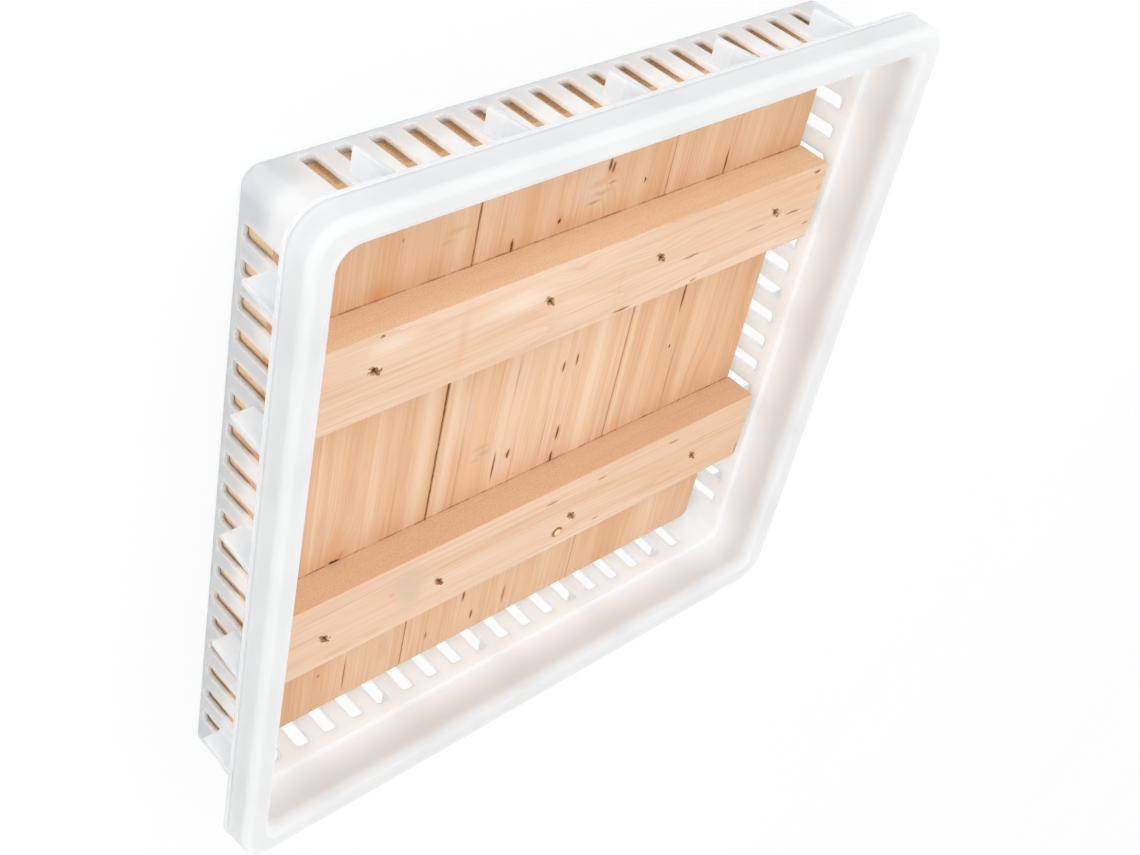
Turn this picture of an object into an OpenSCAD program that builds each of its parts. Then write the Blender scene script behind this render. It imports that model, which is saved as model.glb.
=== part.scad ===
// Tofu pressing mould: a square slotted plastic tray that stacks, with a wooden
// pressing board lying inside it. The board is three planks nailed to two battens.
// Origin: middle of the tray's underside. +Z up out of the tray, X along the battens.

/* [Tray] */
// Half the outside width of the tray at its foot
foot_half = 201.3; // [180:0.1:230]
// Radius of the foot's corners
foot_r = 10.3; // [9:0.1:16]
// Height of the tray over the rim
tray_h = 78; // [70:0.5:110]
// Thickness of the floor
floor_t = 4; // [3:0.5:5]
// Thickness of walls, flange and skirt
wall_t = 3.3; // [2.8:0.1:3.8]
// How far the slotted part of a wall leans out over its height
wall_lean = 1.5; // [0:0.1:3]
// Height at which the wall steps out, above the slots
step_z = 46; // [42:0.5:50]
// How far the wall steps out there
step_out = 2.4; // [1:0.1:3]
// Height over which the step is made
step_h = 2; // [1:0.5:5]
// Height of the rounded edge under the walls
foot_edge = 2.3; // [1:0.1:3]

/* [Rim] */
// How far the rim stands out from the foot
rim_reach = 18.8; // [17:0.1:30]
// Radius of the rim's outer corners, tighter than the wall's round the same middle
rim_r = 20.5; // [18:0.5:30]
// Radius of the soft inner edge of the rim
lip_r = 8; // [6:0.5:9]
// Radius of the rim's outer edge
crest_r = 5; // [4:0.5:6]
// Depth of the skirt that hangs from the rim
skirt_h = 21; // [12:0.5:26]
// How far the bead on the skirt's lower edge stands out
bead_out = 1; // [0.6:0.1:2]
// Height of that bead
bead_h = 3; // [2:0.1:5]

/* [Wall slots] */
// Distance from one slot to the next
slot_pitch = 20; // [16:0.1:28]
// Plain wall kept at both ends of a row of slots, at least
row_end = 10; // [8:0.5:30]
// Width of a slot
slot_w = 9.6; // [6:0.1:11]
// Height of a slot's lower end over the floor's top
slot_sill = 1; // [0.5:0.1:6]
// Length of a slot
slot_h = 32.6; // [20:0.1:35]
// Radius of a slot's corners
slot_r = 2.4; // [1:0.1:2.9]

/* [Fins] */
// Count of slots in the bay between two fins
bay_slot_count = 4; // [2:1:6]
// Thickness of a fin
fin_t = 2.6; // [2:0.1:4]
// Height of a fin below the skirt's lower edge
fin_drop = 30; // [10:0.5:40]
// How far a fin's lower corner stays inside the skirt's face
fin_inset = 4.1; // [2:0.1:10]
// How far a fin's upper corner stays inside it
fin_top_inset = 1.2; // [0.5:0.1:2.5]

/* [Floor drain slots] */
// Columns of drain slots across the floor
drain_cols = 5; // [3:1:7]
// Rows of drain slots across the floor
drain_rows = 18; // [8:2:20]
// Width of a drain slot
drain_w = 8; // [4:0.5:10]
// Width of the floor left between two columns
drain_rib = 9; // [5:0.5:15]
// Width of the plain floor along the walls
drain_margin = 14; // [8:0.5:30]

/* [Board] */
// Gap between the board's left edge and the wall
gap_left = 0.7; // [0.6:0.1:8]
// Gap between the battens' right ends and the wall, at the floor's width
gap_right = 4.5; // [1:0.1:8]
// Gap between the board's front edge and the wall
gap_front = 5.3; // [0.8:0.1:8]
// Gap between the board's rear edge and the wall
gap_rear = 3.5; // [1:0.1:8]
// How much tighter the board's corners are than the tray's
corner_ease = 2; // [0.5:0.1:2]
// Thickness of the planks
plank_t = 19.5; // [14:0.5:24]
// Width of the left plank
plank_left_w = 128.2; // [100:0.5:160]
// Width of the right plank
plank_right_w = 117.9; // [90:0.5:150]
// Width of the open joint beside the left plank
joint_left = 0.9; // [0.3:0.1:2]
// Width of the tight joint beside the right plank
joint_right = 0.4; // [0.3:0.1:2]

/* [Battens] */
// Width of a batten
batten_w = 53.4; // [40:0.1:70]
// Height of a batten
batten_h = 22; // [12:0.5:28]
// Distance from the board's front edge to the front batten
batten_front_in = 73.1; // [40:0.1:90]
// Distance from the board's rear edge to the rear batten
batten_rear_in = 79.1; // [40:0.1:100]
// How far the battens reach past the right plank's edge
batten_over = 1.8; // [0:0.1:4]
// Eased edge along a batten's top
batten_ease = 0.8; // [0.4:0.1:2]
// Radius of the front batten's worn end corner
worn_r = 4; // [2:0.5:10]

/* [Nails] */
// Diameter of a nail's head
head_d = 5; // [3.5:0.1:8]
// Thickness of a nail's head
head_t = 1.2; // [0.8:0.1:2]
// Depth of the sunk head's face below the batten's top
head_sunk = 2.2; // [1:0.1:4]
// Diameter of a nail's shank
shank_d = 2.6; // [2:0.1:3.2]
// Play of the nails in their holes, all round
nail_play = 0.05; // [0.02:0.01:0.2]
// Depth that a nail's end reaches in the planks
nail_depth = 11; // [6:0.5:13]
// Wood between the second front nail and the open joint
nail_edge = 0.3; // [0.3:0.1:10]
// Other front nails: from the board's left end, the tight joint and the board's right end
nails_front = [43.7, 38.1, 46.9]; // [5:0.1:80]
// Rear nails: from the left end, the open joint, the tight joint and the right end
nails_rear = [51.7, 41.7, 16.6, 37.1]; // [5:0.1:80]
// How far the front row of nails lies in front of the batten's middle
row_front_off = 4.2; // [0:0.1:15]
// How far the rear row lies behind the batten's middle
row_rear_off = 3.8; // [0:0.1:15]

/* [Hidden] */

$fn = 48;
EPS = 0.01;
// how far a cutter reaches past what it cuts
OVER = 1;
// flat part of the flange that the lip and the crest each carry round with them
LAP = 1;

// corner arcs' centre, and distances out from it
corner_c = foot_half - foot_r;
lean_u = foot_r + wall_lean;
band_u = lean_u + step_out;
lip_u = band_u - wall_t + lip_r;
skirt_u = foot_r + rim_reach;
rim_half = foot_half + rim_reach;
rim_c = rim_half - rim_r;
fin_u = skirt_u - fin_inset;
fin_top_u = skirt_u - fin_top_inset;

// heights of the tray
lip_z = tray_h - lip_r;
crest_z = tray_h - crest_r;
skirt_z = tray_h - skirt_h;
fin_z = skirt_z - fin_drop;
slot_z = floor_t + slot_sill;

// rows of slots and fins, the same to both sides of a wall's middle
side_slots = floor((corner_c - row_end) / slot_pitch);
slot_n = 2 * side_slots;
side_fins = floor(side_slots / bay_slot_count);
bay_w = bay_slot_count * slot_pitch;

// drain slots
drain_half = foot_half - wall_t - drain_margin;
drain_dx = 2 * drain_half / drain_cols;
drain_dy = 2 * drain_half / drain_rows;
drain_l = drain_dx - drain_rib;

// the board inside the walls
inner_half = foot_half - wall_t;
board_x0 = gap_left - inner_half;
batten_x1 = inner_half - gap_right;
board_x1 = batten_x1 - batten_over;
board_y0 = gap_front - inner_half;
board_y1 = inner_half - gap_rear;
board_l = board_x1 - board_x0;
board_w = board_y1 - board_y0;
board_r = foot_r - wall_t - corner_ease;
plank_top = floor_t + plank_t;
batten_top = plank_top + batten_h;
seam_left = board_x0 + plank_left_w;
seam_right = board_x1 - plank_right_w;
batten_front_y = board_y0 + batten_front_in;
batten_rear_y = board_y1 - batten_rear_in - batten_w;

// nails: places along the board, driven by hand, the second one close to the joint
head_z = batten_top - head_sunk - head_t;
nail_z = plank_top - nail_depth;
row_front_y = batten_front_y + batten_w / 2 - row_front_off;
row_rear_y = batten_rear_y + batten_w / 2 + row_rear_off;
NAIL_FRONT = [
  [board_x0 + nails_front[0], row_front_y],
  [seam_left - shank_d / 2 - nail_edge, row_front_y],
  [seam_right - nails_front[1], row_front_y],
  [board_x1 - nails_front[2], row_front_y]
];
NAIL_REAR = [
  [board_x0 + nails_rear[0], row_rear_y],
  [seam_left + nails_rear[1], row_rear_y],
  [seam_right - nails_rear[2], row_rear_y],
  [board_x1 - nails_rear[3], row_rear_y]
];

plastic = [0.93, 0.94, 0.93];
wood = [0.87, 0.68, 0.46];
wood_dark = [0.80, 0.60, 0.38];
steel = [0.30, 0.27, 0.25];

// a quarter of a ring: the wall's thickness carried round an edge
module edge_ring(r, left) {
  difference() {
    intersection() {
      circle(r = r);
      translate([left ? -r : 0, 0])
        square([r, r]);
    }
    circle(r = r - wall_t);
  }
}

// the tray's section: floor edge, leaning wall, step and lip
module wall_section() {
  polygon([
    [0, 0],
    [foot_r - foot_edge, 0],
    [foot_r - foot_edge, foot_edge],
    [foot_r, foot_edge],
    [lean_u, step_z],
    [band_u, step_z + step_h],
    [band_u, lip_z],
    [band_u - wall_t, lip_z],
    [band_u - wall_t, step_z + step_h],
    [lean_u - wall_t, step_z],
    [foot_r - wall_t, floor_t],
    [0, floor_t]
  ]);
  translate([foot_r - foot_edge, foot_edge])
    circle(r = foot_edge);
  translate([lip_u, lip_z])
    edge_ring(lip_r, true);
  translate([lip_u, tray_h - wall_t])
    square([LAP, wall_t]);
}

// the rim's outer section: crest, skirt and bead
module skirt_section() {
  translate([rim_r - crest_r - LAP, tray_h - wall_t])
    square([LAP, wall_t]);
  translate([rim_r - crest_r, crest_z])
    edge_ring(crest_r, false);
  translate([rim_r - wall_t, skirt_z])
    square([wall_t, crest_z - skirt_z]);
  translate([rim_r + bead_out - bead_h / 2, skirt_z + bead_h / 2])
    circle(d = bead_h);
}

// a rectangle with round corners, from its lower left corner
module round_rect(size, r) {
  translate([r, 0])
    square([size[0] - 2 * r, size[1]]);
  translate([0, r])
    square([size[0], size[1] - 2 * r]);
  for (x = [r, size[0] - r], y = [r, size[1] - r])
    translate([x, y])
      circle(r = r);
}

// a square with round corners, about the middle
module round_square(half, r) {
  translate([-half, -half])
    round_rect([2 * half, 2 * half], r);
}

// a section carried round the four sides, its corner arcs centred c out from the middle
module carry_round(c) {
  for (a = [0:90:270])
    rotate([0, 0, a])
      translate([c, c, 0]) {
        rotate([90, 0, 0])
          linear_extrude(height = 2 * c)
            children();
        rotate_extrude(angle = 90)
          children();
      }
}

// floor, walls and rim, with the flat flange between the lip and the crest
module tray_shell() {
  translate([-corner_c, -corner_c, 0])
    cube([2 * corner_c, 2 * corner_c, floor_t]);
  carry_round(corner_c)
    wall_section();
  carry_round(rim_c)
    skirt_section();
  translate([0, 0, tray_h - wall_t])
    linear_extrude(height = wall_t)
      difference() {
        round_square(rim_half - crest_r - LAP / 2, rim_r - crest_r - LAP / 2);
        round_square(corner_c + lip_u + LAP / 2, lip_u + LAP / 2);
      }
}

// cutters for one wall's row of slots and the facing wall's
module slot_row() {
  reach = 2 * (rim_half + bead_out + OVER);
  rotate([90, 0, 0])
    translate([0, 0, -reach / 2])
      linear_extrude(height = reach)
        for (i = [0:slot_n - 1])
          translate([(i - side_slots + 0.5) * slot_pitch - slot_w / 2, slot_z])
            round_rect([slot_w, slot_h], slot_r);
}

// cutters for the floor's drain slots, with round ends
module drain_slots() {
  r = drain_w / 2;
  translate([0, 0, -OVER])
    linear_extrude(height = floor_t + 2 * OVER)
      for (i = [0:drain_cols - 1], j = [0:drain_rows - 1])
        translate([(i - drain_cols / 2 + 0.5) * drain_dx, (j - drain_rows / 2 + 0.5) * drain_dy]) {
          square([drain_l - drain_w, drain_w], center = true);
          for (s = [-1, 1])
            translate([s * (drain_l / 2 - r), 0])
              circle(r = r);
        }
}

// one fin under the rim, standing square to the wall
module fin() {
  translate([corner_c, fin_t / 2, 0])
    rotate([90, 0, 0])
      linear_extrude(height = fin_t)
        polygon([
          [foot_r - wall_t / 4, fin_z],
          [fin_u, fin_z],
          [fin_top_u, skirt_z],
          [fin_top_u, crest_z],
          [skirt_u - wall_t, tray_h - wall_t / 2],
          [lip_u, tray_h - wall_t / 2],
          [band_u - wall_t / 4, lip_z],
          [band_u - wall_t / 4, step_z + step_h],
          [lean_u - wall_t / 4, step_z]
        ]);
}

module tray() {
  color(plastic) {
    difference() {
      tray_shell();
      slot_row();
      rotate([0, 0, 90])
        slot_row();
      drain_slots();
    }
    for (a = [0:90:270], i = [-side_fins:side_fins])
      rotate([0, 0, a])
        translate([0, i * bay_w, 0])
          fin();
  }
}

// one nail, its end in the planks
module nail(at) {
  color(steel)
    translate([at[0], at[1], 0]) {
      translate([0, 0, nail_z])
        cylinder(d = shank_d, h = head_z - nail_z);
      translate([0, 0, head_z])
        cylinder(d = head_d, h = head_t);
    }
}

// the holes that all the nails sit in
module nail_holes() {
  for (at = concat(NAIL_FRONT, NAIL_REAR))
    translate([at[0], at[1], 0]) {
      translate([0, 0, nail_z])
        cylinder(d = shank_d + 2 * nail_play, h = head_z - nail_z + EPS);
      translate([0, 0, head_z])
        cylinder(d = head_d + 2 * nail_play, h = head_t + head_sunk + OVER);
    }
}

// the board's stretch from x0 to x1
module plank(x0, x1) {
  difference() {
    translate([0, 0, floor_t])
      linear_extrude(height = plank_t)
        intersection() {
          translate([board_x0, board_y0])
            round_rect([board_l, board_w], board_r);
          translate([x0, board_y0])
            square([x1 - x0, board_w]);
        }
    nail_holes();
  }
}

module plank_left() {
  color(wood)
    plank(board_x0, seam_left);
}

module plank_middle() {
  color(wood_dark)
    plank(seam_left + joint_left, seam_right - joint_right);
}

module plank_right() {
  color(wood)
    plank(seam_right, board_x1);
}

// one batten along the board, its long top edges eased
module batten(y0) {
  translate([board_x0, y0, plank_top])
    rotate([90, 0, 90])
      linear_extrude(height = batten_x1 - board_x0)
        polygon([
          [0, 0],
          [batten_w, 0],
          [batten_w, batten_h - batten_ease],
          [batten_w - batten_ease, batten_h],
          [batten_ease, batten_h],
          [0, batten_h - batten_ease]
        ]);
}

// what the front batten's worn end corner has lost
module worn_corner() {
  translate([batten_x1 - worn_r, batten_front_y + worn_r, plank_top - OVER])
    difference() {
      translate([0, -worn_r - OVER, 0])
        cube([worn_r + OVER, worn_r + OVER, batten_h + 2 * OVER]);
      translate([0, 0, -OVER])
        cylinder(r = worn_r, h = batten_h + 4 * OVER);
    }
}

module batten_front() {
  color(wood)
    difference() {
      batten(batten_front_y);
      worn_corner();
      nail_holes();
    }
}

module batten_rear() {
  color(wood)
    difference() {
      batten(batten_rear_y);
      nail_holes();
    }
}

tray();
plank_left();
plank_middle();
plank_right();
batten_front();
batten_rear();
for (i = [0:3]) {
  nail(NAIL_FRONT[i]);
  nail(NAIL_REAR[i]);
}
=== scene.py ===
import math
import random

import bmesh
import bpy
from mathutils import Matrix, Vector


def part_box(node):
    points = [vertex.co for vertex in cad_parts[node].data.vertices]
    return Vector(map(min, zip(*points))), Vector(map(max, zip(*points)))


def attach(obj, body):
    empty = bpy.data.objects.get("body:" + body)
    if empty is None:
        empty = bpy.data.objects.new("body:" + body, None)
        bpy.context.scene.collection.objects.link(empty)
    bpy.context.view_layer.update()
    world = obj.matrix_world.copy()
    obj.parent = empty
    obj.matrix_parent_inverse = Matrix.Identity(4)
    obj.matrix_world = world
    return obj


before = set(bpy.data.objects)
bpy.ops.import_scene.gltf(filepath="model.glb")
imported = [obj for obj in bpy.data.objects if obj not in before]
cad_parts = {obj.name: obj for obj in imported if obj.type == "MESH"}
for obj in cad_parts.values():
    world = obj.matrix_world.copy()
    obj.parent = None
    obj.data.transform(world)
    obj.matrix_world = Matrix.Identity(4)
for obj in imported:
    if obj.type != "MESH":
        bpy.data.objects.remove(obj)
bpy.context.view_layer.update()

MM = 0.001
ROWS = ("front", "rear")
NAILS_IN_ROW = range(1, 5)

# ---------------------------------------------------------------- camera

# solved from the tray's rim and corners: metres, radians, and mm of lens on a 36 mm sensor
CAMERA_PLACE = (-0.6117, 0.64507, 0.54673)
CAMERA_TURN = (-0.869242, -0.725869, 0.247508)
CAMERA_LENS = 56.294
SENSOR_WIDTH = 36.0


def make_camera():
    """The photograph's camera."""
    data = bpy.data.cameras.new("photo_camera")
    data.sensor_fit = "HORIZONTAL"
    data.sensor_width = SENSOR_WIDTH
    data.lens = CAMERA_LENS
    data.clip_start = 0.02
    data.clip_end = 30.0
    camera = bpy.data.objects.new("photo_camera", data)
    camera.location = CAMERA_PLACE
    camera.rotation_mode = "XYZ"
    camera.rotation_euler = CAMERA_TURN
    bpy.context.collection.objects.link(camera)
    bpy.context.scene.camera = camera


# ---------------------------------------------------------------- node graphs

class Graph:
    """Short calls for building one material's nodes.

    place is where a point is on the object, in metres, and colour is the base colour painted so far.
    """

    def __init__(self, name):
        self.material = bpy.data.materials.new(name)
        self.material.use_nodes = True
        self.tree = self.material.node_tree
        self.tree.nodes.clear()
        self.out = self.node("ShaderNodeOutputMaterial")
        self.place = self.node("ShaderNodeTexCoord").outputs["Object"]
        self.colour = None

    def node(self, kind, **settings):
        made = self.tree.nodes.new(kind)
        for key, value in settings.items():
            setattr(made, key, value)
        return made

    def put(self, socket, value):
        if isinstance(value, bpy.types.NodeSocket):
            self.tree.links.new(value, socket)
        else:
            socket.default_value = value

    def math(self, how, a, b=0.0, c=0.0):
        made = self.node("ShaderNodeMath", operation=how)
        for i, value in enumerate((a, b, c)):
            self.put(made.inputs[i], value)
        return made.outputs[0]

    def vector(self, how, a, b=(0.0, 0.0, 0.0), out=0):
        made = self.node("ShaderNodeVectorMath", operation=how)
        self.put(made.inputs[0], a)
        self.put(made.inputs[1], b)
        return made.outputs[out]

    def length(self, a):
        return self.vector("LENGTH", a, out="Value")

    def split(self, a):
        made = self.node("ShaderNodeSeparateXYZ")
        self.put(made.inputs[0], a)
        return made.outputs

    def join(self, x, y, z):
        made = self.node("ShaderNodeCombineXYZ")
        for i, value in enumerate((x, y, z)):
            self.put(made.inputs[i], value)
        return made.outputs[0]

    def noise(self, where, scale=1.0, detail=2.0, rough=0.5):
        made = self.node("ShaderNodeTexNoise")
        self.put(made.inputs["Vector"], where)
        made.inputs["Scale"].default_value = scale
        made.inputs["Detail"].default_value = detail
        made.inputs["Roughness"].default_value = rough
        return made.outputs["Fac"]

    def span(self, value, low, high, to_low=0.0, to_high=1.0):
        """Goes smoothly from to_low to to_high while value goes from low to high."""
        made = self.node("ShaderNodeMapRange", interpolation_type="SMOOTHSTEP", clamp=True)
        self.put(made.inputs["Value"], value)
        ends = {"From Min": low, "From Max": high, "To Min": to_low, "To Max": to_high}
        for key, end in ends.items():
            self.put(made.inputs[key], end)
        return made.outputs["Result"]

    def ramp(self, value, stops):
        made = self.node("ShaderNodeValToRGB")
        bar = made.color_ramp
        while len(bar.elements) < len(stops):
            bar.elements.new(0.5)
        for element, (at, colour) in zip(bar.elements, stops):
            element.position = at
            element.color = rgba(colour)
        self.put(made.inputs[0], value)
        return made.outputs["Color"]

    def times(self, a, b):
        return self.math("MULTIPLY", a, b)

    def blend(self, share, a, b):
        """Colour a where share is 0, colour b where it is 1."""
        made = self.node("ShaderNodeMix", data_type="RGBA", blend_type="MIX")
        # a Mix node has a set of sockets for each kind of data: these are its colours
        self.put(made.inputs[0], share)
        self.put(made.inputs[6], a)
        self.put(made.inputs[7], b)
        return made.outputs[2]

    def paint(self, share, tone):
        """Lays a tone, as 0-255 sRGB numbers, over the colour so far."""
        self.colour = self.blend(share, self.colour, rgba(tone))

    def bump(self, height, strength, distance):
        made = self.node("ShaderNodeBump")
        made.inputs["Strength"].default_value = strength
        made.inputs["Distance"].default_value = distance
        self.put(made.inputs["Height"], height)
        return made.outputs["Normal"]

    def normal(self):
        return self.node("ShaderNodeTexCoord").outputs["Normal"]

    def surface(self, **sockets):
        made = self.node("ShaderNodeBsdfPrincipled")
        for key, value in sockets.items():
            self.put(made.inputs[key.replace("_", " ")], value)
        self.tree.links.new(made.outputs[0], self.out.inputs["Surface"])
        return self.material


def srgb(colour):
    """A colour written as 0-255 sRGB numbers, in linear light."""
    values = [c / 255.0 for c in colour]
    return tuple(v / 12.92 if v <= 0.04045 else ((v + 0.055) / 1.055) ** 2.4 for v in values)


def rgba(colour):
    return (*srgb(colour), 1.0)


# ---------------------------------------------------------------- marks in the wood

# their tones, as 0-255 sRGB numbers
CRACK = (88, 42, 18)
CRACK_EDGE = (196, 120, 66)
KNOT = (78, 40, 22)
PALE = (235, 208, 180)
ORANGE = (219, 152, 96)
TAN = (206, 154, 112)
GREY = (184, 154, 128)
SMUDGE = (140, 112, 90)
STAIN = (206, 184, 158)
WORN = (238, 220, 204)
PINK = (236, 164, 140)
RUST = (238, 150, 126)

# a crack's warm edge is this much longer and wider than its dark core
EDGE_LONGER = 1.15
EDGE_WIDER = 3.2

# past the board's edges, for marks that run its whole length
FAR = 230.0


def mark(x, y, half_x, half_y, tone, strength, edge=0.0, turn=0.0):
    """An ellipse of another tone, in mm on the board and seen from above.

    edge is 0 for one that fades from its middle and nearly 1 for a crisp one, and turn is in degrees.
    """
    return (x, y), (half_x, half_y), tone, strength, edge, turn


def lane(x, half, tone, strength, low=-FAR, high=FAR):
    """A soft streak along Y in a plank."""
    return mark(x, (low + high) / 2, half, (high - low) / 2, tone, strength)


def seam(x, low, high, half, strength):
    """A stretch of the dark line where two planks meet: painted shade in the gap between them."""
    return mark(x, (low + high) / 2, half, (high - low) / 2, CRACK, strength, 0.5)


def knot(x, y, half_x, half_y):
    return mark(x, y, half_x, half_y, KNOT, 0.95, 0.4)


def crack(x, low, high, half=0.9, strength=0.85):
    """A crack along Y in a plank: a dark core in a wider warm edge."""
    y = (low + high) / 2
    long = (high - low) / 2
    edge = mark(x, y, half * EDGE_WIDER, long * EDGE_LONGER, CRACK_EDGE, 0.60 * strength)
    return edge, mark(x, y, half, long, CRACK, strength, 0.4)


def check(low, high, y, half=0.8, strength=0.5):
    """A crack along X in a batten, made as the ones in the planks are."""
    x = (low + high) / 2
    long = (high - low) / 2
    edge = mark(x, y, long * EDGE_LONGER, half * EDGE_WIDER, CRACK_EDGE, 0.60 * strength)
    return edge, mark(x, y, long, half, CRACK, strength, 0.4)


# where the planks meet, on X
SEAM_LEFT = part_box("plank_left")[1][0] / MM
SEAM_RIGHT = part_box("plank_right")[0][0] / MM

# the left seam gapes between the battens and closes towards the front: its dark line is painted shade in
# the gap between the planks
LEFT_SEAM_MARKS = [
    lane(SEAM_LEFT, 2.6, CRACK_EDGE, 0.50),
    seam(SEAM_LEFT, 100.0, 240.0, 0.75, 0.80),
    seam(SEAM_LEFT, -14.0, 84.0, 1.25, 0.95),
    seam(SEAM_LEFT, -110.0, 40.0, 0.80, 0.90),
    seam(SEAM_LEFT, -FAR, -80.0, 0.40, 0.30),
]
# the right seam's dark line is painted shade in its gap as well
RIGHT_SEAM_MARKS = [
    lane(SEAM_RIGHT, 1.8, CRACK_EDGE, 0.40),
    seam(SEAM_RIGHT, -FAR, FAR, 0.55, 0.40),
]

# the marks of each piece, laid one over the other in this order
LEFT_MARKS = [
    # streaks along the plank
    lane(-80.0, 11.0, PALE, 0.75),
    lane(-96.0, 2.2, TAN, 0.26),
    lane(-107.0, 4.5, TAN, 0.30),
    lane(-118.0, 2.0, ORANGE, 0.22),
    lane(-146.0, 3.0, TAN, 0.26),
    lane(-152.0, 2.0, PALE, 0.40),
    # warm patches beside the battens, partly real stain and partly painted shade where the planks meet
    # the battens, and grey smudges
    mark(-131.0, 118.0, 10.0, 14.0, (214, 140, 78), 0.50),
    mark(-110.0, 121.0, 38.0, 9.0, ORANGE, 0.19),
    mark(-100.0, -58.0, 44.0, 20.0, ORANGE, 0.12),
    mark(-134.0, -50.0, 9.0, 17.0, ORANGE, 0.37),
    mark(-122.0, 1.0, 4.0, 3.0, PINK, 0.45),
    mark(-82.0, 143.0, 12.0, 3.0, GREY, 0.45),
    mark(-88.0, 137.0, 8.0, 1.6, GREY, 0.40),
    mark(-84.0, -168.0, 7.0, 18.0, GREY, 0.30),
    # the knot at the front batten, in its warm halo
    mark(-134.0, -62.5, 13.0, 8.0, ORANGE, 0.43),
    knot(-134.6, -65.6, 4.6, 2.2),
    mark(-130.0, -62.0, 3.4, 4.6, (200, 118, 66), 0.45),
    # cracks and the seam
    *crack(-134.0, -163.5, -160.5, 0.8, 0.60),
    *crack(-114.0, -192.0, -153.0, 0.65, 0.60),
    *crack(-119.0, 146.5, 150.0, 0.5, 0.50),
    *LEFT_SEAM_MARKS,
]
MIDDLE_MARKS = [
    # streaks along the plank
    lane(50.0, 13.0, PALE, 0.80),
    lane(-61.0, 6.0, PALE, 0.60),
    lane(-20.0, 5.0, PALE, 0.30),
    lane(10.0, 7.0, PALE, 0.30),
    lane(-54.5, 1.2, ORANGE, 0.45),
    lane(-50.0, 1.6, CRACK, 0.20),
    lane(-40.0, 10.0, (234, 198, 164), 0.55),
    lane(-15.0, 1.0, CRACK, 0.42, -6.0, 48.0),
    lane(-28.0, 1.6, ORANGE, 0.26),
    lane(-5.0, 1.6, ORANGE, 0.52, -76.0, -26.0),
    lane(3.0, 1.3, ORANGE, 0.41, 96.0, 165.0),
    lane(17.5, 0.9, CRACK, 0.35, -66.0, -10.0),
    lane(15.0, 3.0, TAN, 0.26),
    lane(26.0, 3.5, TAN, 0.30),
    lane(38.0, 1.2, ORANGE, 0.30),
    lane(44.5, 0.9, ORANGE, 0.38),
    lane(54.0, 0.8, ORANGE, 0.34),
    lane(63.0, 1.2, ORANGE, 0.38),
    lane(68.5, 1.0, TAN, 0.38),
    # warm and pale patches, and a grey smudge between the battens: the warm patches beside the battens
    # are partly real stain and partly painted shade where the planks meet them
    mark(20.0, 120.0, 60.0, 8.0, ORANGE, 0.14),
    mark(-4.0, 121.0, 11.0, 8.0, ORANGE, 0.38),
    mark(0.0, -62.0, 70.0, 14.0, ORANGE, 0.10),
    mark(-52.0, 8.0, 12.0, 44.0, (232, 206, 184), 0.45),
    mark(-34.0, -26.0, 10.0, 3.0, GREY, 0.50),
    mark(-31.0, -31.0, 9.0, 3.4, GREY, 0.55),
    mark(-37.0, -35.0, 5.0, 2.2, GREY, 0.45),
    mark(-19.0, 14.0, 3.0, 2.5, PINK, 0.45),
    # the grey swirl behind the rear batten, with its red-brown streaks
    mark(12.0, 140.0, 30.0, 22.0, (228, 204, 186), 0.40),
    mark(16.0, 141.0, 10.0, 4.0, (206, 160, 118), 0.60),
    mark(20.0, 134.0, 11.0, 3.0, GREY, 0.60),
    mark(15.0, 129.0, 8.0, 1.8, SMUDGE, 0.60),
    mark(27.0, 138.5, 6.0, 1.6, SMUDGE, 0.55),
    mark(24.0, 146.0, 8.0, 9.0, ORANGE, 0.59),
    mark(22.2, 151.5, 1.7, 5.2, (112, 54, 34), 0.95, 0.4),
    mark(25.4, 149.0, 1.4, 4.2, (128, 66, 42), 0.90, 0.4),
    # small knots
    mark(-9.0, 126.0, 3.0, 7.0, ORANGE, 0.59),
    knot(-9.0, 124.6, 1.2, 2.0),
    knot(54.0, 132.2, 0.8, 2.4),
    # cracks, from the rear to the front, and the seams
    *crack(-42.0, 112.0, 125.5, 1.1, 0.90),
    *crack(22.6, 6.0, 17.0, 1.0, 0.80),
    *crack(33.0, 7.0, 19.5, 0.9, 0.80),
    *crack(-20.5, -62.0, -32.0, 0.8, 0.80),
    *crack(-9.8, -46.5, -37.0, 1.3, 0.85),
    *crack(30.4, -50.4, -35.5, 1.1, 0.90),
    *crack(29.5, -70.0, -56.0, 1.1, 0.90),
    *crack(-49.8, -181.0, -172.0, 0.8, 0.60),
    *crack(-22.2, -162.0, -150.0, 1.0, 0.85),
    *crack(-12.0, -184.5, -173.0, 1.0, 0.85),
    *crack(14.8, -186.0, -164.0, 1.2, 0.50),
    *RIGHT_SEAM_MARKS,
    *LEFT_SEAM_MARKS,
]
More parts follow.
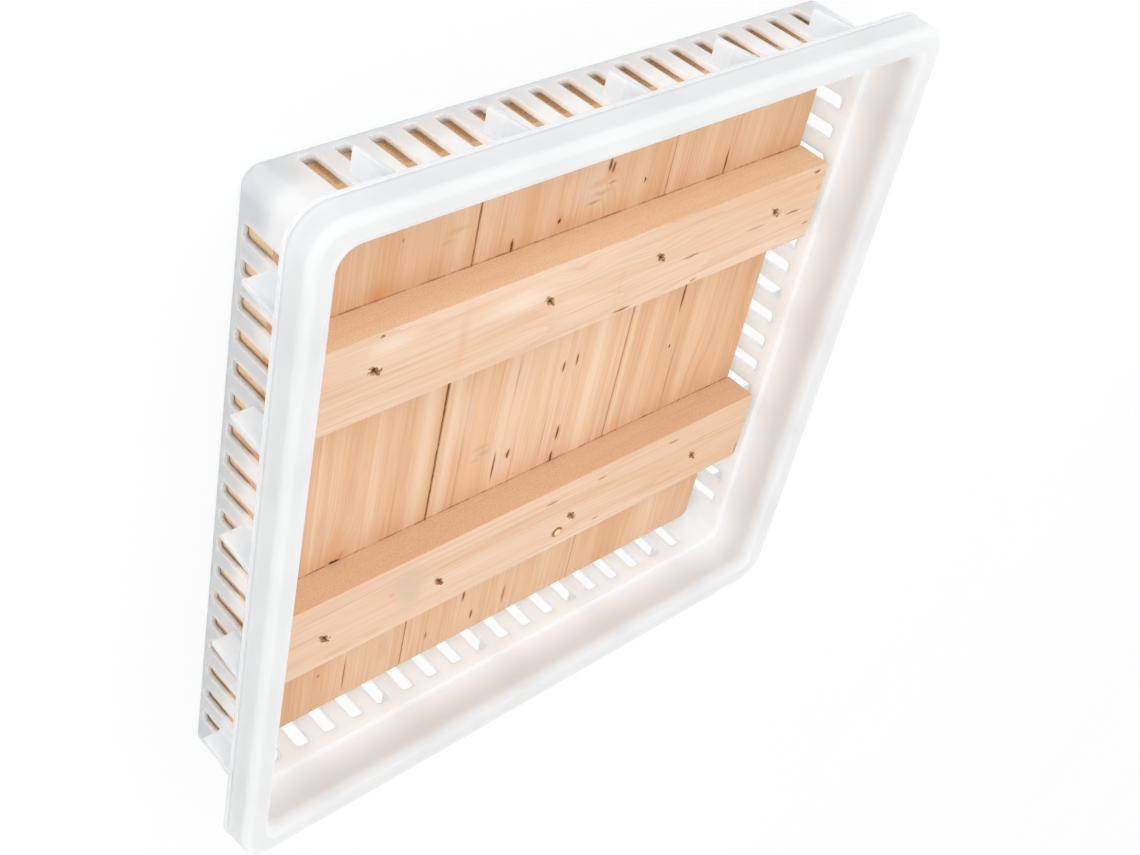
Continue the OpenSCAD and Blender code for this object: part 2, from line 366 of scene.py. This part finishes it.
RIGHT_MARKS = [
    # streaks along the plank
    lane(78.0, 3.5, PALE, 0.60),
    lane(86.0, 1.5, ORANGE, 0.34),
    lane(99.5, 1.3, ORANGE, 0.45, -66.0, 30.0),
    lane(96.0, 5.0, PALE, 0.30),
    lane(111.0, 6.0, TAN, 0.26),
    lane(136.0, 4.0, PALE, 0.30),
    lane(154.0, 3.0, TAN, 0.21),
    lane(174.0, 1.6, ORANGE, 0.41, 100.0, 165.0),
    lane(183.0, 2.0, ORANGE, 0.22),
    lane(124.5, 0.9, CRACK, 0.42, -75.0, 12.0),
    lane(122.8, 0.9, ORANGE, 0.52, 118.0, 165.0),
    # warm patches beside the battens, partly real stain and partly painted shade where the planks meet
    # them, a small knot, cracks and the seam
    mark(115.0, 119.0, 9.0, 14.0, ORANGE, 0.31),
    mark(168.0, 121.0, 30.0, 9.0, ORANGE, 0.17),
    mark(152.0, -48.0, 13.0, 22.0, ORANGE, 0.28),
    mark(120.0, -60.0, 60.0, 14.0, ORANGE, 0.10),
    mark(182.0, 26.0, 4.0, 18.0, TAN, 0.45),
    knot(117.9, -10.6, 0.9, 1.8),
    *crack(122.6, 111.0, 136.0, 0.9, 0.85),
    *crack(118.4, 14.0, 44.0, 1.0, 0.85),
    *RIGHT_SEAM_MARKS,
]
FRONT_MARKS = [
    # the grey stain, with its rusty specks
    mark(-97.0, -82.0, 20.0, 15.0, STAIN, 0.80),
    mark(-92.0, -96.0, 15.0, 19.0, STAIN, 0.75),
    mark(-107.0, -88.5, 3.4, 3.0, RUST, 0.55),
    mark(-104.0, -94.0, 2.0, 1.8, RUST, 0.45),
    # streaks along the batten
    mark(-118.0, -113.0, 9.0, 2.4, TAN, 0.35),
    mark(-142.0, -114.0, 20.0, 3.5, TAN, 0.35),
    mark(-20.0, -118.0, 60.0, 2.5, TAN, 0.30),
    mark(40.0, -108.0, 30.0, 8.0, ORANGE, 0.10),
    mark(168.0, -88.0, 16.0, 1.4, (222, 140, 100), 0.50),
    mark(150.0, -84.0, 34.0, 2.0, GREY, 0.28),
    mark(0.0, -80.0, 120.0, 1.4, TAN, 0.40),
    mark(-60.0, -89.0, 70.0, 1.2, TAN, 0.28),
    # the ringed knot beside the third nail
    mark(27.0, -106.6, 7.4, 6.0, ORANGE, 0.55, 0.3),
    mark(25.6, -106.6, 4.9, 4.7, (138, 84, 46), 0.85, 0.75),
    mark(26.6, -107.4, 3.3, 3.4, (240, 204, 166), 1.0, 0.7),
    # cracks, and the stained right end
    *check(8.0, 22.0, -76.6, 0.8, 0.55),
    *check(52.0, 62.0, -75.6, 0.8, 0.45),
    *check(114.0, 127.0, -74.2, 0.9, 0.45),
    *check(56.0, 64.0, -111.6, 0.7, 0.45),
    mark(193.0, -112.0, 3.2, 8.0, (168, 112, 62), 0.60, 0.3),
]
REAR_MARKS = [
    # pale worn patches, and faint bands across the batten
    mark(-50.0, 100.0, 36.0, 10.0, WORN, 0.65),
    mark(-136.0, 106.0, 28.0, 8.0, WORN, 0.55),
    mark(-10.0, 86.0, 30.0, 6.0, WORN, 0.35),
    mark(-88.0, 88.0, 5.5, 34.0, ORANGE, 0.21),
    mark(27.0, 84.0, 4.5, 26.0, ORANGE, 0.14),
    # streaks along the batten
    mark(-60.0, 66.0, 130.0, 4.0, TAN, 0.26),
    mark(60.0, 100.5, 40.0, 1.6, ORANGE, 0.19),
    mark(86.0, 98.0, 13.0, 2.0, ORANGE, 0.28),
    mark(96.0, 98.5, 5.0, 1.2, (232, 150, 104), 0.45),
    mark(170.0, 100.0, 20.0, 3.0, (232, 160, 120), 0.25),
    mark(100.0, 84.0, 60.0, 1.2, TAN, 0.45),
    mark(-100.0, 76.0, 90.0, 1.1, TAN, 0.40),
    mark(20.0, 78.0, 90.0, 1.0, TAN, 0.40),
    # the right end's stain, cracks and the pit near the left end
    mark(191.0, 100.0, 3.4, 3.0, (226, 150, 90), 0.60, 0.2),
    *check(24.0, 42.0, 64.6, 0.9, 0.70),
    *check(88.0, 96.0, 64.6, 0.9, 0.50),
    *check(76.0, 93.0, 84.4, 0.8, 0.55),
    *check(128.0, 151.0, 86.0, 0.6, 0.35),
    *check(163.0, 181.0, 87.2, 0.8, 0.60),
    *check(181.0, 189.0, 112.6, 1.0, 0.80),
    *check(185.0, 192.0, 74.0, 0.9, 0.55),
    mark(-143.0, 113.6, 2.4, 1.0, (150, 80, 46), 0.80, 0.4),
]

# places where the grain swerves: middle, half size and how far it is pushed, in mm
SWERVES = {
    "plank_left": [
        ((-134.0, -66.0), (20.0, 44.0), 9.0),
        ((-196.0, 60.0), (40.0, 120.0), 7.0),
    ],
    "plank_middle": [
        ((23.0, 150.0), (18.0, 34.0), 10.0),
        ((-30.0, -20.0), (26.0, 70.0), 3.0),
    ],
    "plank_right": [
        ((192.0, 20.0), (26.0, 70.0), 12.0),
        ((150.0, -60.0), (18.0, 60.0), 7.0),
    ],
    "batten_front": [
        ((27.0, -107.0), (22.0, 9.0), 4.0),
        ((200.0, -100.0), (170.0, 60.0), 5.0),
    ],
    "batten_rear": [
        ((200.0, 90.0), (330.0, 90.0), -14.0),
        ((-6.0, 104.0), (26.0, 9.0), 6.0),
        ((60.0, 98.0), (50.0, 9.0), 5.0),
    ],
}


def nail_marks(row):
    """The stained, torn wood round each nail of one row."""
    marks = []
    for number in NAILS_IN_ROW:
        x, y = middle(nail_name(row, number))
        marks += [
            mark(x, y, 6.0, 2.8, ORANGE, 0.50, 0.0, -48.0),
            mark(x - 2.1, y + 2.6, 2.4, 1.2, (158, 106, 70), 0.80, 0.5, -25.0),
            mark(x + 1.9, y - 2.2, 3.6, 1.2, (136, 80, 46), 0.85, 0.5, -48.0),
            mark(x - 0.2, y + 0.3, 2.6, 1.0, (110, 64, 40), 0.80, 0.6, -62.0),
            mark(x + 1.5, y + 0.9, 2.6, 0.8, (248, 220, 192), 0.85, 0.4, -48.0),
        ]
    return marks


# ---------------------------------------------------------------- wood

# the wood's own tones, from its darkest lanes to its lightest
PLANK_TONES = [
    (0.28, (218, 171, 130)),
    (0.42, (222, 179, 141)),
    (0.56, (227, 187, 153)),
    (0.72, (232, 196, 165)),
]
MIDDLE_TONES = [
    (0.28, (220, 174, 134)),
    (0.42, (224, 182, 146)),
    (0.56, (228, 190, 157)),
    (0.72, (232, 197, 168)),
]
BATTEN_TONES = [
    (0.28, (225, 187, 155)),
    (0.45, (229, 198, 170)),
    (0.60, (233, 205, 180)),
    (0.76, (236, 211, 190)),
]
GRAIN = (190, 126, 80)
SAWN = (168, 108, 62)
# painted shade: the dark line in the crease where a batten meets a plank
JOINT_SHADE = (120, 56, 22)
# painted light: the end grain is lighter than the wood, to offset the shade it sits in behind the slotted
# walls
END_GRAIN = (244, 202, 158)
END_SPECKS = (208, 154, 108)

# tone of the long side faces, how much of it shows, and how strong the saw's marks are
# the plank sides are painted lighter than the wood, as painted light against the shade behind the slotted
# walls, and the front batten's sides darker, as painted shade
PLANK_SIDE = ((242, 212, 178), 0.75, 0.42)
SIDES = {
    "plank_left": PLANK_SIDE,
    "plank_middle": PLANK_SIDE,
    "plank_right": PLANK_SIDE,
    "batten_front": ((220, 179, 143), 0.65, 0.0),
    "batten_rear": ((242, 204, 164), 0.60, 0.0),
}

# how far each piece's seed moves it across and along the grain's noise, in mm
SEED_ACROSS = 37.0
SEED_ALONG = 91.0

# a mark is slim past this ratio of its sides, and past this strength and edge it is a pit in the wood
SLIM = 5.0
SUNK_STRENGTH = 0.70
SUNK_EDGE = 0.35
PIT_DEPTH = 1.4


class Wood(Graph):
    """Sawn softwood, painted layer by layer, with its lengths in mm.

    lengthwise and crosswise are a point's places along and across the grain.
    """

    def __init__(self, name, along, seed):
        """along is the grain's axis, and seed gives each piece a pattern of its own."""
        super().__init__("wood_" + name)
        self.along = "XYZ".index(along)
        self.mm = self.vector("MULTIPLY", self.place, (1.0 / MM, 1.0 / MM, 1.0 / MM))
        x, self.y, self.z = self.split(self.mm)
        self.crosswise, self.lengthwise = (self.y, x) if along == "X" else (x, self.y)
        for centre, half, push in SWERVES[name]:
            near = self.ellipse(self.mm, centre, half, 0.0)
            self.crosswise = self.math("MULTIPLY_ADD", near, push, self.crosswise)
        moved_aside = self.math("ADD", self.crosswise, seed * SEED_ACROSS)
        moved_on = self.math("ADD", self.lengthwise, seed * SEED_ALONG)
        self.grain = self.join(moved_aside, moved_on, self.z)
        self.pits = 0.0

    def ellipse(self, where, centre, half, edge, turn=0.0):
        """1 inside an ellipse on the board, 0 outside, whatever the height."""
        offset = self.vector("SUBTRACT", where, (*centre, 0.0))
        if turn:
            turned = self.node("ShaderNodeVectorRotate", rotation_type="Z_AXIS")
            self.put(turned.inputs["Vector"], offset)
            turned.inputs["Angle"].default_value = -math.radians(turn)
            offset = turned.outputs[0]
        scaled = self.vector("MULTIPLY", offset, (1.0 / half[0], 1.0 / half[1], 0.0))
        return self.span(self.length(scaled), 1.0, edge)

    def stretched(self, where, across, along, **settings):
        """Noise with its scales in 1/mm, drawn out along the grain where along is the smaller."""
        return self.noise(self.vector("MULTIPLY", where, (across, along, across)), **settings)

    def thin_lines(self, where, across, along, width, detail=1.0):
        """Fine crisp lines: where a drawn-out noise crosses its middle value."""
        level = self.stretched(where, across, along, detail=detail)
        off = self.math("ABSOLUTE", self.math("SUBTRACT", level, 0.5))
        return self.span(off, width, 0.0)

    def lay_tones(self, tones):
        """Broad tones, with narrower lanes in them."""
        broad = self.stretched(self.grain, 0.035, 0.0030, detail=2.0)
        lanes = self.stretched(self.grain, 0.16, 0.0035, detail=3.0, rough=0.6)
        tone = self.math("MULTIPLY_ADD", self.math("SUBTRACT", lanes, 0.5), 0.22, broad)
        self.colour = self.ramp(tone, tones)

    def lay_rings(self, contours, strength):
        """Growth rings are the level lines of a slow noise, and finer lines run between them."""
        level = self.stretched(self.grain, 0.020, 0.0016, detail=1.0)
        wander = self.stretched(self.grain, 0.20, 0.006, detail=2.0)
        height = self.math("MULTIPLY_ADD", self.math("SUBTRACT", wander, 0.5), 0.040, level)
        self.late = self.math("POWER", self.math("FRACT", self.times(height, contours)), 5.0)
        uneven = self.stretched(self.grain, 0.05, 0.008, detail=1.0)
        clear = self.span(uneven, 0.35, 0.65, 0.35, 1.0)
        self.paint(self.times(self.times(self.late, clear), strength), GRAIN)
        fine = self.thin_lines(self.grain, 0.30, 0.0030, 0.055)
        self.paint(self.times(self.times(fine, clear), 0.22), GRAIN)
        finer = self.thin_lines(self.grain, 0.75, 0.0060, 0.070)
        self.paint(self.times(finer, 0.11), GRAIN)

    def lay_fibres(self):
        """Dark and pale fibres, a fraction of a mm across."""
        self.fibre = self.stretched(self.grain, 1.5, 0.030, detail=3.0, rough=0.65)
        self.paint(self.span(self.fibre, 0.42, 0.75, 0.0, 0.17), GRAIN)
        self.paint(self.span(self.fibre, 0.46, 0.28, 0.0, 0.18), PALE)

    def bent_places(self):
        """The board's places pushed about by noise: raggedly for broad marks, less for slim ones."""
        bend_x = self.noise(self.mm, scale=0.16, detail=3.0)
        bend_y = self.noise(self.vector("ADD", self.mm, (50.0, 0.0, 0.0)), scale=0.16, detail=3.0)
        shift_x = self.times(self.math("SUBTRACT", bend_x, 0.5), 2.8)
        shift_y = self.times(self.math("SUBTRACT", bend_y, 0.5), 3.4)
        shift = self.join(shift_x, shift_y, 0.0)
        less = self.vector("MULTIPLY", shift, (0.30, 0.30, 0.0))
        return self.vector("ADD", self.mm, shift), self.vector("ADD", self.mm, less)

    def lay_marks(self, marks):
        """The local marks. The deep, crisp ones are sunk into the wood as well."""
        ragged, nearly = self.bent_places()
        for centre, half, tone, strength, edge, turn in marks:
            slim = max(half) > SLIM * min(half)
            inside = self.ellipse(nearly if slim else ragged, centre, half, edge, turn)
            self.paint(self.times(inside, strength), tone)
            if strength > SUNK_STRENGTH and edge > SUNK_EDGE:
                self.pits = self.math("MAXIMUM", self.pits, inside)

    def lay_joints(self, joints):
        """The broken dark line on a plank, along each batten's edge: painted shade in the crease where
        the batten meets the plank.
        """
        for joint in joints:
            off = self.math("ABSOLUTE", self.math("SUBTRACT", self.y, joint))
            broken = self.noise(self.vector("MULTIPLY", self.mm, (0.05, 0.0, 0.0)), detail=5.0, rough=0.7)
            line = self.times(self.span(off, 1.1, 0.4), self.span(broken, 0.38, 0.60, 0.05, 0.70))
            # the painted shade in the crease along the batten
            self.paint(line, JOINT_SHADE)

    def facing(self, axis):
        """How squarely a face looks along an axis, either way."""
        return self.math("ABSOLUTE", self.split(self.normal())[axis])

    def lay_sides(self, tone, share, saw_strength):
        """The long sides get another tone, partly painted light and shade, with fuzz and the saw's marks.
        """
        side = self.span(self.facing(1 - self.along), 0.70, 0.95)
        self.paint(self.times(side, share), tone)
        slanted = self.join(self.lengthwise, self.times(self.z, 0.15), self.crosswise)
        saw_marks = self.thin_lines(slanted, 0.10, 0.10, 0.030, detail=3.0)
        fuzz = self.span(self.noise(self.mm, scale=1.1, detail=3.0, rough=0.7), 0.46, 0.68)
        sawn = self.math("MAXIMUM", self.times(saw_marks, saw_strength), self.times(fuzz, 0.30))
        self.paint(self.times(side, sawn), SAWN)
        self.paint(self.times(fuzz, 0.07), GRAIN)

    def lay_ends(self):
        """The cut ends show speckled end grain, painted lighter than the wood as painted light against
        the shade behind the slotted walls.
        """
        speckle = self.noise(self.mm, scale=0.9, detail=3.0, rough=0.7)
        end_colour = self.blend(self.span(speckle, 0.35, 0.70), rgba(END_GRAIN), rgba(END_SPECKS))
        self.colour = self.blend(self.span(self.facing(self.along), 0.80, 0.95), self.colour, end_colour)

    def finish(self):
        """The material, with its fibres and late wood raised a little and its pits sunk."""
        relief = self.math("MULTIPLY_ADD", self.fibre, 0.35, self.times(self.late, 0.20))
        relief = self.math("MULTIPLY_ADD", self.pits, -PIT_DEPTH, relief)
        return self.surface(
            Base_Color=self.colour,
            Roughness=self.span(self.fibre, 0.3, 0.7, 0.62, 0.74),
            Normal=self.bump(relief, 0.5, 0.0004),
            Specular_IOR_Level=0.25,
        )


def wood(name, along, seed, tones, contours, rings, marks, joints):
    """One plank's or batten's material.

    contours and rings are the count and the strength of the growth rings, and joints are where on Y a
    batten meets the plank.
    """
    g = Wood(name, along, seed)
    g.lay_tones(tones)
    g.lay_rings(contours, rings)
    g.lay_fibres()
    g.lay_marks(marks)
    g.lay_joints(joints)
    g.lay_sides(*SIDES[name])
    g.lay_ends()
    return g.finish()


def dress_wood():
    """Each plank and batten gets a material of its own."""
    just_behind = 0.3
    joints = [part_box("batten_" + row)[1][1] / MM + just_behind for row in ROWS]
    front_marks = FRONT_MARKS + nail_marks("front")
    rear_marks = REAR_MARKS + nail_marks("rear")
    # the grain's axis, seed, tones, count and strength of the rings, marks and joints
    looks = {
        "plank_left": ("Y", 1.0, PLANK_TONES, 12.0, 0.16, LEFT_MARKS, joints),
        "plank_middle": ("Y", 2.0, MIDDLE_TONES, 18.0, 0.18, MIDDLE_MARKS, joints),
        "plank_right": ("Y", 3.0, PLANK_TONES, 12.0, 0.18, RIGHT_MARKS, joints),
        "batten_front": ("X", 4.0, BATTEN_TONES, 9.0, 0.20, front_marks, []),
        "batten_rear": ("X", 5.0, BATTEN_TONES, 13.0, 0.26, rear_marks, []),
    }
    for node, look in looks.items():
        put_on(node, wood(node, *look))


# ---------------------------------------------------------------- plastic

# places on the tray, in metres: distances from its middle, and heights
TRAY_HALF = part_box("tray")[1][0]
SKIRT_FROM = TRAY_HALF - 9.0 * MM
SKIRT_FULL = TRAY_HALF - 5.0 * MM
INNER_WALLS_TO = TRAY_HALF - 16.0 * MM
SLOTTED_WALL_FROM = 192.0 * MM
SLOT_FOOT = 3.5 * MM
SLOT_HEAD = 41.0 * MM
STEP_LOW = 38.0 * MM
STEP_HIGH = 52.0 * MM
BEAD_TOP = 62.5 * MM


def plastic():
    """Natural moulded polythene: milky, satin, faintly cloudy, with scuffs."""
    g = Graph("milky_plastic")
    cloud = g.noise(g.place, scale=9.0, detail=3.0)
    scuff = g.noise(g.vector("MULTIPLY", g.place, (60.0, 60.0, 220.0)), detail=4.0, rough=0.7)
    grain = g.noise(g.place, scale=1400.0, detail=2.0)
    g.colour = g.ramp(cloud, [(0.3, (226, 226, 225)), (0.7, (233, 233, 232))])
    tone_the_walls(g)
    tone_the_rim(g)
    # painted light: the slots' thin edges are painted white for the light that comes through them
    g.paint(slot_edges(g), (255, 255, 255))
    g.paint(g.span(scuff, 0.70, 0.82, 0.0, 0.20), (214, 214, 212))
    relief = g.math("MULTIPLY_ADD", grain, 0.25, scuff)
    return g.surface(
        Base_Color=g.colour,
        Roughness=g.span(cloud, 0.3, 0.7, 0.50, 0.60),
        Normal=g.bump(relief, 0.10, 0.0004),
        IOR=1.5,
        Specular_IOR_Level=0.35,
        Subsurface_Weight=1.0,
        Subsurface_Radius=(1.0, 1.0, 1.0),
        Subsurface_Scale=0.02,
    )


def tone_the_walls(g):
    """The walls are cooler low down. Inside, painted light makes them lighter and cooler than the rest,
    against their shade and the wood's warm bounce light, and lighter again above the step, where the
    flare shades them.
    """
    height = g.split(g.place)[2]
    g.paint(g.span(height, STEP_HIGH, STEP_LOW), (228, 234, 239))
    upper = g.span(height, STEP_LOW, STEP_HIGH - 2.0 * MM)
    # painted light on the inner walls, lighter above the step
    inside = g.blend(upper, rgba((236, 249, 255)), rgba((244, 252, 255)))
    g.colour = g.blend(inside_walls(g), g.colour, inside)


def tone_the_rim(g):
    """Painted shade: the skirt's face is painted a little darker than the rest, and the bead at its foot
    darker again, to hold down the light their thin plastic catches from both sides.
    """
    height = g.split(g.place)[2]
    skirt = skirt_face(g)
    bead = g.times(skirt, g.span(height, BEAD_TOP, BEAD_TOP - 2.5 * MM))
    # painted shade on the skirt's face and its bead
    g.paint(skirt, (225, 226, 226))
    g.paint(bead, (203, 205, 206))


def outward(g):
    """How squarely a face looks away from the tray's middle: 1 outwards, -1 inwards, 0 along or up."""
    x, y, z = g.split(g.place)
    out = g.vector("NORMALIZE", g.join(x, y, 0.0))
    return g.vector("DOT_PRODUCT", g.normal(), out, out="Value")


def from_middle(g):
    """How far a place is from the tray's middle, measured square to the nearest wall."""
    x, y, z = g.split(g.place)
    return g.math("MAXIMUM", g.math("ABSOLUTE", x), g.math("ABSOLUTE", y))


def inside_walls(g):
    """1 on the faces that look inwards at the board, 0 elsewhere."""
    within = g.span(from_middle(g), INNER_WALLS_TO + 2.0 * MM, INNER_WALLS_TO)
    return g.times(within, g.span(outward(g), 0.0, -0.4))


def skirt_face(g):
    """1 on the outer face of the rim's skirt, 0 elsewhere."""
    far = g.span(from_middle(g), SKIRT_FROM, SKIRT_FULL)
    return g.times(far, g.span(outward(g), 0.30, 0.65))


def slot_edges(g):
    """1 on the thin edges of the wall slots, which look lighter as light comes through them."""
    height = g.split(g.place)[2]
    wall = g.span(from_middle(g), SLOTTED_WALL_FROM, SLOTTED_WALL_FROM + 2.0 * MM)
    above_foot = g.span(height, SLOT_FOOT, SLOT_FOOT + 1.0 * MM)
    below_head = g.span(height, SLOT_HEAD, SLOT_HEAD - 2.0 * MM)
    edge = g.span(g.math("ABSOLUTE", outward(g)), 0.62, 0.50)
    return g.times(g.times(wall, g.times(above_foot, below_head)), edge)


# ---------------------------------------------------------------- nails and torn wood

SPLINTERS_AT_NAIL = 6
SLIVER_STEPS = 5
# the two ways the fibres are torn at a nail, in degrees from X
TORN_WAYS = (-50.0, 130.0)


def nail_name(row, number):
    return "nail_%s_%d" % (row, number)


def middle(node):
    """The middle of a CAD node seen from above, in mm."""
    low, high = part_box(node)
    return tuple((low[i] + high[i]) / 2 / MM for i in (0, 1))


def steel():
    """Dark, stained wire nails."""
    g = Graph("nail_steel")
    spot = g.noise(g.place, scale=900.0, detail=3.0)
    return g.surface(
        Base_Color=g.ramp(spot, [(0.3, (74, 50, 36)), (0.7, (128, 98, 76))]),
        Metallic=0.6,
        Roughness=g.span(spot, 0.3, 0.7, 0.45, 0.75),
        Normal=g.bump(spot, 0.4, 0.0002),
    )


def torn_wood():
    """Splinters, brown at the root and pale where the fibre is fresh."""
    g = Graph("torn_wood")
    spot = g.noise(g.place, scale=420.0, detail=2.0)
    colour = g.ramp(spot, [(0.38, (138, 82, 48)), (0.62, (230, 178, 134))])
    return g.surface(Base_Color=colour, Roughness=0.75, Specular_IOR_Level=0.2)


def sliver(mesh, start, heading, length, width, lift):
    """Adds one tapered splinter to a mesh: it leaves the wood, curls over and comes back down."""
    curl = 0.8
    root_depth = 0.3 * MM
    ridge = Vector((0.0, 0.0, 0.35 * MM))
    last = None
    for i in range(SLIVER_STEPS + 1):
        share = i / SLIVER_STEPS
        turn = heading + curl * share
        ahead = Vector((math.cos(turn), math.sin(turn), 0.0)) * length * share
        side = Vector((-math.sin(turn), math.cos(turn), 0.0)) * width * (1.0 - 0.85 * share)
        rise = Vector((0.0, 0.0, lift * math.sin(math.pi * share) - root_depth))
        spine = Vector(start) + ahead + rise
        ring = [mesh.verts.new(spine + offset) for offset in (side, ridge, -side)]
        if last is None:
            mesh.faces.new(reversed(ring))
        else:
            for j in range(3):
                k = (j + 1) % 3
                mesh.faces.new((last[j], last[k], ring[k], ring[j]))
        last = ring
    mesh.faces.new(last)


def splinter_mesh(name, row, number):
    """The torn fibres that stand up round one sunk nail."""
    # a fixed seed of its own for each nail
    rng = random.Random(100 * len(row) + number)
    x, y = middle(nail_name(row, number))
    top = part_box("batten_" + row)[1][2]
    built = bmesh.new()
    for i in range(SPLINTERS_AT_NAIL):
        heading = math.radians(rng.choice(TORN_WAYS) + rng.uniform(-35.0, 35.0))
        out = rng.uniform(1.6, 2.8) * MM
        start = (x * MM + out * math.cos(heading), y * MM + out * math.sin(heading), top)
        length = rng.uniform(1.6, 3.6) * MM
        width = rng.uniform(0.25, 0.5) * MM
        lift = rng.uniform(0.3, 0.8) * MM
        sliver(built, start, heading, length, width, lift)
    mesh = bpy.data.meshes.new(name)
    built.to_mesh(mesh)
    built.free()
    return mesh


def make_splinters(row, number, material):
    """One piece for the splinters of one nail, which rides with the board."""
    name = "splinters_%s_%d" % (row, number)
    mesh = splinter_mesh(name, row, number)
    mesh.materials.append(material)
    torn = bpy.data.objects.new(name, mesh)
    bpy.context.collection.objects.link(torn)
    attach(torn, "press_board")


def dress_nails():
    """Every nail gets its steel and its splinters."""
    nail_material = steel()
    torn_material = torn_wood()
    for row in ROWS:
        for number in NAILS_IN_ROW:
            put_on(nail_name(row, number), nail_material)
            make_splinters(row, number, torn_material)


def put_on(node, material):
    """Gives a CAD node a material."""
    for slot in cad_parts[node].material_slots:
        slot.material = material


# ---------------------------------------------------------------- studio

FLOOR_HALF = 6.0
FLOOR_HEIGHT = -0.0005
# how much of the floor, as the camera sees it, is plain white: the rest keeps the object's shadow
FLOOR_WHITE = 0.85


def floor_material():
    """Pale, and white to the camera but for the shadow on it."""
    g = Graph("floor_white")
    diffuse = g.node("ShaderNodeBsdfDiffuse")
    speck = g.noise(g.place, scale=3.0)
    g.put(diffuse.inputs["Color"], g.ramp(speck, [(0.3, (240, 240, 240)), (0.7, (243, 243, 243))]))
    glow = g.node("ShaderNodeEmission")
    glow.inputs["Strength"].default_value = 1.0
    seen = g.node("ShaderNodeLightPath")
    share = g.math("MAXIMUM", seen.outputs["Is Camera Ray"], seen.outputs["Is Glossy Ray"])
    mix = g.node("ShaderNodeMixShader")
    g.put(mix.inputs[0], g.times(share, FLOOR_WHITE))
    g.put(mix.inputs[1], diffuse.outputs[0])
    g.put(mix.inputs[2], glow.outputs[0])
    g.put(g.out.inputs["Surface"], mix.outputs[0])
    return g.material


def make_floor():
    """A flat sheet just under the object."""
    far = FLOOR_HALF
    corners = [(-far, -far, 0.0), (far, -far, 0.0), (far, far, 0.0), (-far, far, 0.0)]
    mesh = bpy.data.meshes.new("floor")
    mesh.from_pydata(corners, [], [(0, 1, 2, 3)])
    mesh.materials.append(floor_material())
    floor = bpy.data.objects.new("floor", mesh)
    floor.location.z = FLOOR_HEIGHT
    bpy.context.collection.objects.link(floor)


def make_world():
    """An even white world."""
    world = bpy.data.worlds.new("studio")
    bpy.context.scene.world = world
    world.use_nodes = True
    tree = world.node_tree
    tree.nodes.clear()
    white = tree.nodes.new("ShaderNodeBackground")
    white.inputs["Color"].default_value = (1.0, 1.0, 1.0, 1.0)
    white.inputs["Strength"].default_value = 1.0
    out = tree.nodes.new("ShaderNodeOutputWorld")
    tree.links.new(white.outputs[0], out.inputs["Surface"])


COOL_WHITE = (0.93, 0.97, 1.0)
LAMP_TARGET = (0.0, 0.0, 0.03)
# name, place and diameter in metres, and watts
LAMPS = [
    ("key_soft", (-0.3, -0.5, 1.9), 1.6, 1.5),
    ("rear_fill", (-0.3, 1.7, 1.2), 1.5, 12.0),
    ("left_fill", (-1.8, 0.2, 0.5), 1.2, 4.5),
]


def area_lamp(name, place, size, watts):
    """A round soft lamp, aimed at the object."""
    data = bpy.data.lights.new(name, "AREA")
    data.shape = "DISK"
    data.size = size
    data.energy = watts
    data.color = COOL_WHITE
    lamp = bpy.data.objects.new(name, data)
    lamp.location = place
    aim = Vector(LAMP_TARGET) - Vector(place)
    lamp.rotation_mode = "QUATERNION"
    lamp.rotation_quaternion = aim.to_track_quat("-Z", "Y")
    bpy.context.collection.objects.link(lamp)


# ---------------------------------------------------------------- scene

make_camera()
make_world()
for lamp in LAMPS:
    area_lamp(*lamp)
make_floor()
dress_wood()
put_on("tray", plastic())
dress_nails()
bpy.context.scene.view_settings.view_transform = "Standard"
